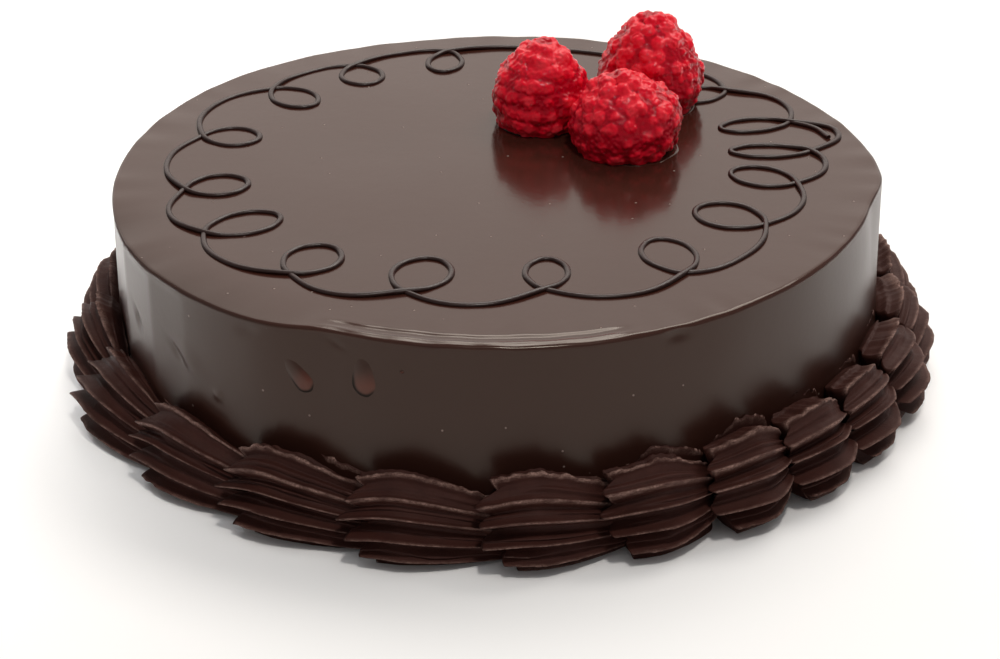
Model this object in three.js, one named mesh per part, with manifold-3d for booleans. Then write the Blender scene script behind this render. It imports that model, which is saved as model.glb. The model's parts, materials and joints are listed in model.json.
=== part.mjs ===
// A small round chocolate cake: a glazed body with a piped line of loops on its top, a border of piped
// shells round its foot, and three berries. Millimetres, +Z up, origin at the middle of the base.
// The front of the cake faces -Y, and angles run counter-clockwise from +X, seen from above.
import * as THREE from "three";
import { mergeVertices } from "three/addons/utils/BufferGeometryUtils.js";
import Module from "manifold-3d";

const wasm = await Module();
wasm.setup();

// Clearance between pieces that touch
const GAP = 0.3;

// Glazed body: a disc with a rounded shoulder, whose wall wavers a little. It sits to the left in its border.
const CAKE_RADIUS = 78;
const CAKE_HEIGHT = 40.8;
const CAKE_SHIFT = 1.1;
const SHOULDER_RADIUS = 5;
const SHOULDER_STEPS = 3;
const CAKE_SIDES = 60;
const WAVER = 0.35;
const WAVER_PHASES = [0.6, 2];

// Piped line of loops, clockwise from the back: where the line crosses itself, the loop's tip, the
// loop's width, and how far the line bows out on its way to the next loop
const LINE_RADIUS = 0.75;
const LINE_HALF_SIDES = 3;
const LINE_SINK = 0.1;
const LINE_STEPS = 7;
const STRETCH_OVERLAP = 0.01;
const LOOPS = [
  { cross: [32, 59.5], tip: [27.5, 50], width: 8.5, bow: 3 },
  { cross: [48.7, 44], tip: [37, 39], width: 8, bow: 5 },
  { cross: [61, 26.5], tip: [46.2, 23], width: 6.5, bow: 8 },
  { cross: [64, 11], tip: [47.4, 11], width: 6, bow: 4 },
  { cross: [59.5, -5], tip: [46.8, 0.8], width: 9, bow: 3 },
  { cross: [51.5, -24.5], tip: [38.5, -17.2], width: 11, bow: 3 },
  { cross: [34.5, -46], tip: [29.5, -31.5], width: 10, bow: 4.5 },
  { cross: [8, -53], tip: [8.5, -40], width: 8, bow: 4.5 },
  { cross: [-18, -54], tip: [-13, -40], width: 11, bow: 4 },
  { cross: [-40, -46.5], tip: [-33, -34.5], width: 10.5, bow: 4 },
  { cross: [-58, -28.5], tip: [-44, -20.5], width: 9.5, bow: 4 },
  { cross: [-64, -8], tip: [-51.5, -4.5], width: 9.5, bow: 4 },
  { cross: [-63, 19], tip: [-51, 18], width: 9, bow: 5 },
  { cross: [-50, 45], tip: [-41, 35.5], width: 9, bow: 2.2 },
  { cross: [-33, 58.5], tip: [-29.5, 47.5], width: 9, bow: 2 },
  { cross: [-12, 67], tip: [-13.5, 55], width: 7.5, bow: 1.5 },
];
// Half outline of one loop, from its crossing to its tip: depth and half-width as shares
const LOOP_OUTLINE = [
  [0.25, 0.75],
  [0.6, 1],
  [0.9, 0.6],
];
// Where the line was begun, beside its end
const LINE_START = [
  [61, 26.5],
  [66, 23],
  [68.5, 18],
];

// Border of shells: each starts with a broad splayed head and tapers to the next one's head. The
// shells come wider and narrower in a slow wave, twice round the cake, and the narrower are taller.
const SHELL_COUNT = 24;
const FIRST_SHELL_DEGREES = 218.5;
const SHELL_WAVE_DEGREES = 5;
const SHELL_WAVE_PHASE = -12.5;
const SHELL_STEPS = 5;
const SHELL_SQUEEZE = 0.03;
const SHELL_UNEVEN = 0.03;
const SHELL_SEED = 7;
// Where the middle of each blade's edge lies, out from the cake's radius and up, and how deep the
// groove under the edge is, from the lip over the foot to the crest
const SHELL_EDGES = [
  { out: 11, up: 3, groove: 3.2 },
  { out: 11.6, up: 7.2, groove: 3.2 },
  { out: 10.1, up: 11.3, groove: 1.8 },
  { out: 8.2, up: 14.7, groove: 1.2 },
  { out: 5.2, up: 18.2, groove: 0.9 },
];
const SHELL_FOOT = 7.5;
const SHELL_BACK = 15;
const GROOVE_CENTRE = new THREE.Vector2(1.5, 5);
// Out and up, the head's end and the tail's as shares of the middle, and how far the tail drops
const HEAD_END = 0.3;
const HEAD_SPREAD = [1.06, 0.84];
const TAIL_SPREAD = [0.49, 0.8];
const TAIL_DROP = 1.8;

// Berries: base centre, width, height, and the way they lean
const DRUPELET_PITCH = 5.1;
const DRUPELET_RADIUS = 2.95;
const DRUPELET_UNEVEN = 0.08;
const DRUPELET_STRAY = 0.3;
const BERRY_SIDES = 12;
const CORE_SWELL = 0.9;
const BERRY_WIDEST = 0.3;
const BERRY_FOOT = 0.78;
const BERRY_ROWS = 4;
const BERRY_CROWN = { bend: 2.4, roundness: 0.6 };
const BERRIES = [
  { name: "berry_left", at: [7.9, 27], width: 21.2, height: 18.6, lean: 3, toward: 180, seed: 3 },
  { name: "berry_front", at: [26.2, 13.4], width: 23.4, height: 16.6, lean: 9, toward: 170, seed: 11 },
  { name: "berry_back", at: [31.8, 37], width: 23.6, height: 21.2, lean: 2, toward: 100, seed: 23 },
];

const GLAZE = { color: 0x3a2621, roughness: 0.25, metalness: 0 };
const PIPED_CREAM = { color: 0x33201b, roughness: 0.6, metalness: 0 };
const BERRY_RED = { color: 0xa80f22, roughness: 0.3, metalness: 0 };

const radians = THREE.MathUtils.degToRad;
const mix = THREE.MathUtils.lerp;

// Repeatable draw between 0 and 1
function seededDraw(seed) {
  let state = seed;
  return () => {
    state = (state * 16807) % 2147483647;
    return state / 2147483647;
  };
}

// Closed geometry to a solid that can be joined and cut
function toSolid(geometry) {
  const bare = new THREE.BufferGeometry();
  bare.setAttribute("position", geometry.getAttribute("position"));
  bare.setIndex(geometry.getIndex());
  const merged = mergeVertices(bare, 1e-4);
  const triVerts = new Uint32Array(merged.getIndex().array);
  const vertProperties = merged.getAttribute("position").array;
  return new wasm.Manifold(new wasm.Mesh({ numProp: 3, vertProperties, triVerts }));
}

function toGeometry(solid) {
  const { vertProperties, triVerts } = solid.getMesh();
  const geometry = new THREE.BufferGeometry();
  geometry.setAttribute("position", new THREE.BufferAttribute(vertProperties, 3));
  geometry.setIndex(new THREE.BufferAttribute(triVerts, 1));
  geometry.computeVertexNormals();
  return geometry;
}

// Moves each vertex of a geometry by a function of its place
function reshape(geometry, place) {
  const position = geometry.getAttribute("position");
  const point = new THREE.Vector3();
  for (let i = 0; i < position.count; i += 1) {
    point.fromBufferAttribute(position, i);
    place(point);
    position.setXYZ(i, point.x, point.y, point.z);
  }
  return geometry;
}

function lathe(profile, sides) {
  return new THREE.LatheGeometry(profile, sides).rotateX(Math.PI / 2);
}

function wallRadius(angle) {
  const [slow, quick] = WAVER_PHASES;
  const waver = WAVER * (Math.sin(2 * angle + slow) + Math.sin(5 * angle + quick));
  return CAKE_RADIUS + waver - CAKE_SHIFT * Math.cos(angle);
}

// Glazed body with its rounded shoulder
function bodyGeometry() {
  const corner = CAKE_RADIUS - SHOULDER_RADIUS;
  const outline = new THREE.Path();
  outline.moveTo(0, 0);
  outline.lineTo(CAKE_RADIUS, 0);
  outline.lineTo(CAKE_RADIUS, CAKE_HEIGHT - SHOULDER_RADIUS);
  outline.absarc(corner, CAKE_HEIGHT - SHOULDER_RADIUS, SHOULDER_RADIUS, 0, Math.PI / 2, false);
  outline.lineTo(0, CAKE_HEIGHT);
  return reshape(lathe(outline.getPoints(SHOULDER_STEPS), CAKE_SIDES), (point) => {
    const stretch = wallRadius(Math.atan2(point.y, point.x)) / CAKE_RADIUS;
    point.x *= stretch;
    point.y *= stretch;
  });
}

// Bowed point of the line halfway between two loops
function bowPoint(loop, next) {
  const from = new THREE.Vector2(...loop.cross);
  const to = new THREE.Vector2(...next.cross);
  const reach = (from.length() + to.length()) / 2 + loop.bow;
  return from.add(to).setLength(reach);
}

// Points of one loop, from its first crossing to its second
function loopPoints(loop) {
  const cross = new THREE.Vector2(...loop.cross);
  const along = new THREE.Vector2(...loop.tip).sub(cross);
  const across = new THREE.Vector2(-along.y, along.x).setLength(loop.width / 2);
  const spot = (depth, side) => cross.clone().addScaledVector(along, depth).addScaledVector(across, side);
  const going = LOOP_OUTLINE.map(([depth, side]) => spot(depth, side));
  const coming = LOOP_OUTLINE.map(([depth, side]) => spot(depth, -side)).reverse();
  return [cross, ...going, spot(1, 0), ...coming, cross.clone()];
}

function onTop(point) {
  return new THREE.Vector3(point.x, point.y, CAKE_HEIGHT + LINE_SINK);
}

// A stretch of the piped line along some points
function lineStretch(points) {
  const section = new THREE.Shape();
  section.absarc(0, 0, LINE_RADIUS, 0, 2 * Math.PI, false);
  const extrudePath = new THREE.CatmullRomCurve3(points);
  const options = { steps: LINE_STEPS, curveSegments: LINE_HALF_SIDES, extrudePath };
  return toSolid(new THREE.ExtrudeGeometry(section, options));
}

// The line on the cake's top, in stretches that each run from a bow to a tip or from a tip to a bow,
// so that none crosses itself
function lineSolids() {
  const route = LOOPS.flatMap((loop, i) => [bowPoint(LOOPS.at(i - 1), loop), ...loopPoints(loop)]);
  const line = new THREE.CatmullRomCurve3(route.map(onTop), true);
  const count = 2 * LOOPS.length;
  const stretches = Array.from({ length: count }, (_, i) => {
    const points = Array.from({ length: LINE_STEPS + 1 }, (_, k) => {
      const place = i + mix(-STRETCH_OVERLAP, 1 + STRETCH_OVERLAP, k / LINE_STEPS);
      return line.getPoint((place / count + 1) % 1);
    });
    return lineStretch(points);
  });
  const start = LINE_START.map(([x, y]) => onTop(new THREE.Vector2(x, y)));
  return [...stretches, lineStretch(start)];
}

// Room that a berry takes up where it sits on the line
function berryRoom(berry) {
  const radius = berry.width / 2 + GAP;
  const room = new THREE.CylinderGeometry(radius, radius, berry.height, CAKE_SIDES);
  room.rotateX(Math.PI / 2).translate(...berry.at, CAKE_HEIGHT);
  return toSolid(room);
}

function cakeGeometry() {
  const line = wasm.Manifold.union(lineSolids());
  const rooms = wasm.Manifold.union(BERRIES.map(berryRoom));
  return toGeometry(toSolid(bodyGeometry()).add(line.subtract(rooms)));
}

// Where a shell's head starts, in radians
function shellStart(index) {
  const even = (360 / SHELL_COUNT) * index;
  const wave = SHELL_WAVE_DEGREES * Math.sin(radians(2 * even + SHELL_WAVE_PHASE));
  return radians(FIRST_SHELL_DEGREES + even + wave);
}

// Section of a shell at its middle, x out from the cake's radius and y up, from its foot over its
// edges to its back at the wall
function shellSection() {
  const section = new THREE.Shape();
  section.moveTo(0, 0);
  section.lineTo(SHELL_FOOT, 0);
  for (const { out, up, groove } of SHELL_EDGES) {
    const edge = new THREE.Vector2(out, up);
    const inward = GROOVE_CENTRE.clone().sub(edge).setLength(groove);
    section.lineTo(out + inward.x, up + inward.y);
    section.lineTo(out, up);
  }
  section.lineTo(0, SHELL_BACK);
  return section;
}

// A size along a shell, as a share of its middle's: from its head's end to its middle, then to its tail
function alongShell(share, head, tail) {
  if (share < HEAD_END) {
    return mix(head, 1, Math.sin((share / HEAD_END) * (Math.PI / 2)));
  }
  return mix(1, tail, (share - HEAD_END) / (1 - HEAD_END));
}

// One shell, bent round the wall from its own start to the next one's
function shellGeometry(index, draw) {
  const start = shellStart(index);
  const end = shellStart(index + 1) - GAP / CAKE_RADIUS;
  const squeeze = 360 / SHELL_COUNT - THREE.MathUtils.radToDeg(end - start);
  const tallness = 1 + SHELL_SQUEEZE * squeeze + SHELL_UNEVEN * (2 * draw() - 1);
  const options = { depth: 1, steps: SHELL_STEPS, bevelEnabled: false };
  const geometry = new THREE.ExtrudeGeometry(shellSection(), options);
  return reshape(geometry, (point) => {
    const share = 1 - point.z;
    const angle = mix(start, end, share);
    const out = point.x * alongShell(share, HEAD_SPREAD[0], TAIL_SPREAD[0]);
    const drop = TAIL_DROP * Math.max(share - HEAD_END, 0) / (1 - HEAD_END);
    const up = tallness * point.y * alongShell(share, HEAD_SPREAD[1], TAIL_SPREAD[1]) - drop;
    const inner = wallRadius(angle) + GAP;
    const radius = point.x > 0 ? Math.max(CAKE_RADIUS + out, inner) : inner;
    point.set(radius * Math.cos(angle), radius * Math.sin(angle), Math.max(up, 0));
  });
}

// Radius of a berry at a share of its height, as a share of its greatest radius
function berryOutline(share) {
  if (share < BERRY_WIDEST) {
    return mix(1, BERRY_FOOT, (1 - share / BERRY_WIDEST) ** 2);
  }
  const rise = (share - BERRY_WIDEST) / (1 - BERRY_WIDEST);
  return Math.max(1 - rise ** BERRY_CROWN.bend, 0) ** BERRY_CROWN.roundness;
}

// One drupelet, a small faceted bead turned at random
function drupeletSolid(place, draw) {
  const uneven = DRUPELET_UNEVEN * (2 * draw() - 1);
  const bead = new THREE.IcosahedronGeometry(DRUPELET_RADIUS * (1 + uneven), 0);
  bead.rotateX(Math.PI * draw()).rotateZ(Math.PI * draw());
  return toSolid(bead.translate(place.x, place.y, place.z));
}

// A berry of drupelets in rows over a core, leant over and cut flat where it sits
function berryGeometry(berry) {
  const draw = seededDraw(berry.seed);
  const radius = berry.width / 2 - DRUPELET_RADIUS;
  const height = berry.height - DRUPELET_RADIUS;
  const core = [new THREE.Vector2(0, 0)];
  const drupelets = [];
  for (let row = 0; row <= BERRY_ROWS; row += 1) {
    const share = Math.sin((row / BERRY_ROWS) * (Math.PI / 2));
    const around = radius * berryOutline(share);
    core.push(new THREE.Vector2(row < BERRY_ROWS ? around + CORE_SWELL : 0, share * height));
    const count = Math.max(1, Math.round((2 * Math.PI * around) / DRUPELET_PITCH));
    for (let i = 0; i < count; i += 1) {
      const turn = ((i + 0.5 * (row % 2) + DRUPELET_STRAY * draw()) / count) * 2 * Math.PI;
      const place = new THREE.Vector3(around * Math.cos(turn), around * Math.sin(turn), share * height);
      drupelets.push(drupeletSolid(place, draw));
    }
  }
  const whole = wasm.Manifold.union([toSolid(lathe(core, BERRY_SIDES)), ...drupelets]);
  const toward = radians(berry.toward);
  const axis = new THREE.Vector3(-Math.sin(toward), Math.cos(toward), 0);
  const lean = new THREE.Matrix4().makeRotationAxis(axis, radians(berry.lean));
  const leant = toSolid(toGeometry(whole).applyMatrix4(lean));
  const below = new THREE.BoxGeometry(2 * berry.width, 2 * berry.width, berry.height);
  below.translate(0, 0, -berry.height / 2);
  return toGeometry(leant.subtract(toSolid(below)));
}

function addMesh(group, name, geometry, finish) {
  const mesh = new THREE.Mesh(geometry, new THREE.MeshStandardMaterial(finish));
  mesh.name = name;
  group.add(mesh);
  return mesh;
}

const cake = new THREE.Group();
addMesh(cake, "cake_body", cakeGeometry(), GLAZE);

const shellDraw = seededDraw(SHELL_SEED);
for (let i = 0; i < SHELL_COUNT; i += 1) {
  const name = "shell_" + String(i + 1).padStart(2, "0");
  addMesh(cake, name, shellGeometry(i, shellDraw), PIPED_CREAM);
}

for (const berry of BERRIES) {
  const mesh = addMesh(cake, berry.name, berryGeometry(berry), BERRY_RED);
  mesh.position.set(...berry.at, CAKE_HEIGHT + GAP);
}

export default cake;
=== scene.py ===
# %% [markdown]
# # A glazed chocolate cake, dressed piece by piece
# The cake arrives as a frame of plain solids: one body, twenty-four piped shells and three berries. The
# frame fixes every size and place. This lesson models the visible pieces over it, and gives each a finish
# made of nodes. Everything is in metres, with the cake's front towards -Y.

# %% Load the frame
import json
import math
import random

import bmesh
import bpy
from mathutils import Matrix, Vector, noise

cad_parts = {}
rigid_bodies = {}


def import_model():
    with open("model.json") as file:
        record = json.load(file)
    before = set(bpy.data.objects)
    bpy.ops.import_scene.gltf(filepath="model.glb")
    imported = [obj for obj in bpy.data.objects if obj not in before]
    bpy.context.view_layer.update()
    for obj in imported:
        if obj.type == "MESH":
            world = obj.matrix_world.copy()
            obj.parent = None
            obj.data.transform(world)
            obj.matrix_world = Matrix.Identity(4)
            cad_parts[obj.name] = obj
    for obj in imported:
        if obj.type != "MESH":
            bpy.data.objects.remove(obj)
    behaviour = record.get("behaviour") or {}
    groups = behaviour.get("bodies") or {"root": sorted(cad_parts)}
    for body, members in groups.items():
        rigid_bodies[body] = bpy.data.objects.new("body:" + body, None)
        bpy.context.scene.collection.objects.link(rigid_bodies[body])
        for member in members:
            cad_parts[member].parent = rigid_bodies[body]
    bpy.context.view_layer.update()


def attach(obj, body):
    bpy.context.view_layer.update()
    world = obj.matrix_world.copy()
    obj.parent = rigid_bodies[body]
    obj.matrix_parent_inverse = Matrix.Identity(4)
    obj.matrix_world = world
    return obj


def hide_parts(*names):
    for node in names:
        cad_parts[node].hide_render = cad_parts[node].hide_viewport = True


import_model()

MM = 0.001

# %% [markdown]
# ## Camera
# The picture was taken with a long lens, from a little over half a metre away and 28 degrees above the
# table. A camera object could be turned by hand until it looks right. Aiming it from a distance, an angle
# and one target keeps the view tied to real sizes.

# %% Camera
LENS = 94.2
FILM_WIDTH = 36
CAMERA_DISTANCE = 0.5502
CAMERA_ELEVATION = math.radians(27.54)
CAMERA_TARGET = Vector((-0.0005, 0, 0.0049))


def add_object(name, data):
    """Link a new object, at the origin, into the scene."""
    thing = bpy.data.objects.new(name, data)
    bpy.context.scene.collection.objects.link(thing)
    return thing


def aim(thing, place, target):
    """Stand a camera or a light at a place, looking at a target."""
    thing.location = place
    thing.rotation_euler = (target - place).to_track_quat("-Z", "Y").to_euler()


lens = bpy.data.cameras.new("photo_camera")
lens.lens = LENS
lens.sensor_width = FILM_WIDTH
camera = add_object("photo_camera", lens)
sight = Vector((0, -math.cos(CAMERA_ELEVATION), math.sin(CAMERA_ELEVATION)))
aim(camera, CAMERA_TARGET + CAMERA_DISTANCE * sight, CAMERA_TARGET)
bpy.context.scene.camera = camera
print("camera stands at", [round(value, 3) for value in camera.location])

# %% [markdown]
# ## Shader sums in Python
# A finish is a tree of nodes, and most of them are sums. Linking each Math node by hand hides the formula.
# This small class wraps a socket, so that Python's own operators add the nodes, and one method makes any
# other node.


# %% Shader sums in Python
class Wire:
    """An output socket in a node tree, which Python's operators can do sums with."""

    def __init__(self, tree, socket=None):
        self.tree = tree
        self.socket = socket

    def feed(self, node, sockets):
        """Link a Wire, or set a plain value, on each named or numbered socket of a node."""
        for key, value in sockets.items():
            if isinstance(value, Wire):
                self.tree.links.new(value.socket, node.inputs[key])
            else:
                node.inputs[key].default_value = value

    def node(self, kind, sockets, output=0, **settings):
        """Add a node of a kind, apply its settings, feed its sockets and return one output."""
        made = self.tree.nodes.new(kind)
        stops = settings.pop("stops", None)
        for name, value in settings.items():
            setattr(made, name, value)
        if stops:
            ramp = made.color_ramp.elements
            while len(ramp) < len(stops):
                ramp.new(0.5)
            for element, (position, shade) in zip(ramp, stops):
                element.position = position
                element.color = (shade, shade, shade, 1)
        self.feed(made, sockets)
        return Wire(self.tree, made.outputs[output])

    def sums(self, operation, first, second):
        return self.node("ShaderNodeMath", {0: first, 1: second}, operation=operation)

    def __add__(self, other):
        return self.sums("ADD", self, other)

    def __sub__(self, other):
        return self.sums("SUBTRACT", self, other)

    def __rsub__(self, other):
        return self.sums("SUBTRACT", other, self)

    def __mul__(self, other):
        return self.sums("MULTIPLY", self, other)

    def ramp(self, *stops):
        """Turn a value into shades between stops of (position, shade)."""
        return self.node("ShaderNodeValToRGB", {0: self}, stops=stops)

    def colours(self, first, second):
        """Mix two colours, with this value as the factor."""
        return self.node("ShaderNodeMix", {0: self, 6: first, 7: second}, output=2, data_type="RGBA")


def new_finish(name):
    """A material, its shader, and a Wire of its Object coordinates."""
    material = bpy.data.materials.new(name)
    material.use_nodes = True
    tree = material.node_tree
    place = Wire(tree).node("ShaderNodeTexCoord", {}, output="Object")
    return material, tree.nodes["Principled BSDF"], place


def cloud(place, scale, detail=3, roughness=0.5):
    """Soft noise of a scale per metre."""
    sockets = {"Vector": place, "Scale": scale, "Detail": detail, "Roughness": roughness}
    return place.node("ShaderNodeTexNoise", sockets)


def attribute(place, name):
    """An attribute that a mesh carries on its vertices."""
    return place.node("ShaderNodeAttribute", {}, output="Fac", attribute_name=name)


def bump(height, distance, strength=1):
    """A bump of a real height in metres."""
    sockets = {"Height": height, "Distance": distance, "Strength": strength}
    return height.node("ShaderNodeBump", sockets, output="Normal")


print("shader sums ready")

# %% [markdown]
# ## Floor and light
# The cake is seen on plain white, in soft light from above and behind, with bright edges on its wall. One
# lamp hangs above and behind it, a wide warm one behind makes the shine on the top, and a small one in
# front gives the wet berries their glints. A dim white world fills the rest, so that what faces the camera
# stays dark. The bright edges mirror the table beside the cake, which is burnt out to white. Three lamps
# light only that table, so that they don't wash out the chocolate.

# %% Floor and light
FLOOR_SIZE = 8
FLOOR_PALE = (0.84, 0.84, 0.84, 1)
FLOOR_PALER = (0.88, 0.88, 0.88, 1)
FLOOR_MOTTLE = 9
FLOOR_ROUGHNESS = 0.9
WARM_WHITE = (1, 0.95, 0.89)
WARM_BACK = (1, 0.88, 0.80)
WORLD_SHADE = (1, 1, 1, 1)
WORLD_STRENGTH = 0.3
WIDE_BEAM = math.radians(180)
NARROW_BEAM = math.radians(70)
# Place, target, width, height, power in watts and beam of each soft lamp
CAKE_LAMPS = {
    "lamp_above": (Vector((0.35, 0.6, 1.0)), Vector((0, 0, 0.03)), 1.2, 0.42, 9, WIDE_BEAM),
    "lamp_behind": (Vector((0, 1.4, 0.75)), Vector((0, 0, 0.03)), 2.8, 1.1, 10.2, WIDE_BEAM),
    "lamp_front": (Vector((0.12, -0.5, 1.1)), Vector((0, 0, 0.03)), 0.12, 0.12, 4.5, WIDE_BEAM),
}
TABLE_LAMPS = {
    "lamp_left": (Vector((-0.32, 0.1, 0.35)), Vector((-0.3, 0.1, 0)), 0.2, 0.2, 0.9, NARROW_BEAM),
    "lamp_right": (Vector((0.32, 0.1, 0.35)), Vector((0.3, 0.1, 0)), 0.2, 0.2, 0.28, NARROW_BEAM),
    "lamp_table": (Vector((0, -0.5, 1.2)), Vector((0, -0.4, 0)), 1.5, 1.0, 3, WIDE_BEAM),
}


def as_mesh(bm, name):
    """Turn a bmesh into a mesh."""
    mesh = bpy.data.meshes.new(name)
    bm.to_mesh(mesh)
    bm.free()
    return mesh


def soft_lamp(name, place, target, width, height, power, beam):
    data = bpy.data.lights.new(name, "AREA")
    data.shape = "RECTANGLE"
    data.size = width
    data.size_y = height
    data.energy = power
    data.spread = beam
    lamp = add_object(name, data)
    lamp.visible_camera = False
    aim(lamp, place, target)
    return lamp


def pale_finish():
    material, shader, place = new_finish("pale_floor")
    shade = cloud(place, FLOOR_MOTTLE).colours(FLOOR_PALE, FLOOR_PALER)
    place.feed(shader, {"Base Color": shade, "Roughness": FLOOR_ROUGHNESS})
    return material


sheet = bmesh.new()
bmesh.ops.create_grid(sheet, x_segments=1, y_segments=1, size=FLOOR_SIZE / 2)
floor_mesh = as_mesh(sheet, "floor")
floor_mesh.materials.append(pale_finish())
floor = add_object("floor", floor_mesh)

world = bpy.data.worlds.new("studio")
world.use_nodes = True
world.node_tree.nodes["Background"].inputs["Color"].default_value = WORLD_SHADE
world.node_tree.nodes["Background"].inputs["Strength"].default_value = WORLD_STRENGTH
bpy.context.scene.world = world
bpy.context.scene.view_settings.view_transform = "Standard"
for lamp_name, lamp_facts in CAKE_LAMPS.items():
    lamp = soft_lamp(lamp_name, *lamp_facts)
    lamp.data.color = WARM_BACK if lamp_name == "lamp_behind" else WARM_WHITE
table_only = bpy.data.collections.new("table_only")
table_only.objects.link(floor)
for lamp_name, lamp_facts in TABLE_LAMPS.items():
    lamp = soft_lamp(lamp_name, *lamp_facts)
    lamp.light_linking.receiver_collection = table_only
print("floor and", len(CAKE_LAMPS) + len(TABLE_LAMPS), "lamps set")

# %% [markdown]
# ## One way to finish a piece
# Each piece starts as a bmesh, the mesh that Blender's modelling operators work on. When its shape is done,
# its faces are turned outwards and it becomes an object at the origin, with its place in its mesh. It then
# rides on the frame, takes a finish, and stands for the solids that it replaces.


# %% One way to finish a piece
def add_piece(name, mesh, finish, nodes):
    """Put a mesh on the frame as a piece, with its finish, in place of some solids."""
    mesh.materials.clear()
    mesh.materials.append(finish)
    mesh.shade_smooth()
    piece = add_object(name, mesh)
    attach(piece, "root")
    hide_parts(*nodes)
    return piece


def bmesh_piece(name, bm, finish, nodes=()):
    """Turn a bmesh's faces outwards and make a piece of it."""
    bmesh.ops.recalc_face_normals(bm, faces=bm.faces[:])
    return add_piece(name, as_mesh(bm, name), finish, nodes)


def baked_mesh(thing):
    """The mesh of an object as its modifiers or its bevel leave it, and the object removed."""
    shown = thing.evaluated_get(bpy.context.evaluated_depsgraph_get())
    mesh = bpy.data.meshes.new_from_object(shown)
    bpy.data.objects.remove(thing)
    return mesh


def unit_ball(sides, rows):
    """A bmesh of a ball of radius 1."""
    bm = bmesh.new()
    bmesh.ops.create_uvsphere(bm, u_segments=sides, v_segments=rows, radius=1)
    return bm


def mix(first, second, share):
    return first + (second - first) * share


def clamp(value, low=0.0, high=1.0):
    return min(max(value, low), high)


def swell(value, width):
    """A smooth bump of height 1 that fades out over a width."""
    return math.exp(-((value / width) ** 2))


def smooth(share):
    """A share from 0 to 1 that starts and ends gently."""
    share = clamp(share)
    return share * share * (3 - 2 * share)


def eased(value, start, length):
    """A share that rises gently from 0 at a start to 1 a length later."""
    return smooth((value - start) / length)


def bent(first, pull, last, share):
    """A point on the curve from one point to another, pulled towards a third."""
    return first * (1 - share) ** 2 + pull * 2 * share * (1 - share) + last * share ** 2


def turn(radius, angle, height):
    """A point at a radius and an angle round the cake's axis."""
    return Vector((radius * math.cos(angle), radius * math.sin(angle), height))


print("piece helpers ready")

# %% [markdown]
# ## Chocolate glaze
# The glaze is poured ganache: nearly black brown, smooth, with a soft mirror shine. Its pale look on top is
# mostly the white room, mirrored at a low angle. So the colour stays very dark, and the shine comes from
# the shader, but the top's colour is painted a little lighter than the wall's, as painted light from above.
# A slow mottle and a few pale specks keep it from looking like plastic. The top is shinier than the wall,
# which was smoothed with a blade. Two attributes, thin and edge, mark a painted warm reflection and a
# painted shadow on the drips, and are 0 elsewhere.

# %% Chocolate glaze
WALL_RADIUS = 78 * MM
CAKE_HEIGHT = 40.8 * MM
GLAZE_WALL = (0.030, 0.0100, 0.0068, 1)
# Painted light: the top is coloured lighter than the wall, as if lit from above
GLAZE_TOP_LIT = (0.043, 0.0130, 0.0088, 1)
# Painted reflection: a warm glow on the drips' lower ends
GLAZE_WARM_REFLECTION = (0.080, 0.0200, 0.0130, 1)
# Painted shadow under the drips' lower ends
GLAZE_SHADE = (0.006, 0.0022, 0.0016, 1)
GLAZE_TINT = (1, 0.93, 0.82, 1)
GLAZE_SPECK = (0.22, 0.16, 0.14, 1)
GLAZE_IOR = 1.42
GLAZE_RIM = 1.6 * MM
RIM_WAVER = 0.5
# The wall's roughness, what is added to it in places, and what the shiny top takes off
WALL_ROUGHNESS = 0.29
MOTTLE_ROUGHNESS = 0.06
SPECK_ROUGHNESS = 0.2
EDGE_ROUGHNESS = 0.5
TOP_SHINE = 0.17
# Noise per metre. The grain and the sway also give their stand as a share of the relief
MOTTLE_SCALE = 60
GRAIN = (900, 0.1)
SWAY = (160, 0.25)
SPECK_STAND = 0.8
GLAZE_RELIEF = 0.1 * MM
# Cells per metre, dimensions, share of the cells that hold a speck, and its size in cells
TOP_SPECKS = (130, "2D", 0.3, 0.035)
WALL_SPECKS = (260, "3D", 0.4, 0.07)
SPECK_CORE = 0.6
SPECK_FADE = 0.02


def specks(place, per_metre, dimensions, share, size):
    """Small pale specks: the middles of a share of the cells, with a size in cells."""
    cells = {"Vector": place, "Scale": per_metre}
    nearness = place.node("ShaderNodeTexVoronoi", cells, voronoi_dimensions=dimensions)
    draw = place.node("ShaderNodeTexVoronoi", cells, output="Color", voronoi_dimensions=dimensions)
    return nearness.ramp((size * SPECK_CORE, 1), (size, 0)) * draw.ramp((share - SPECK_FADE, 1), (share, 0))


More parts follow.
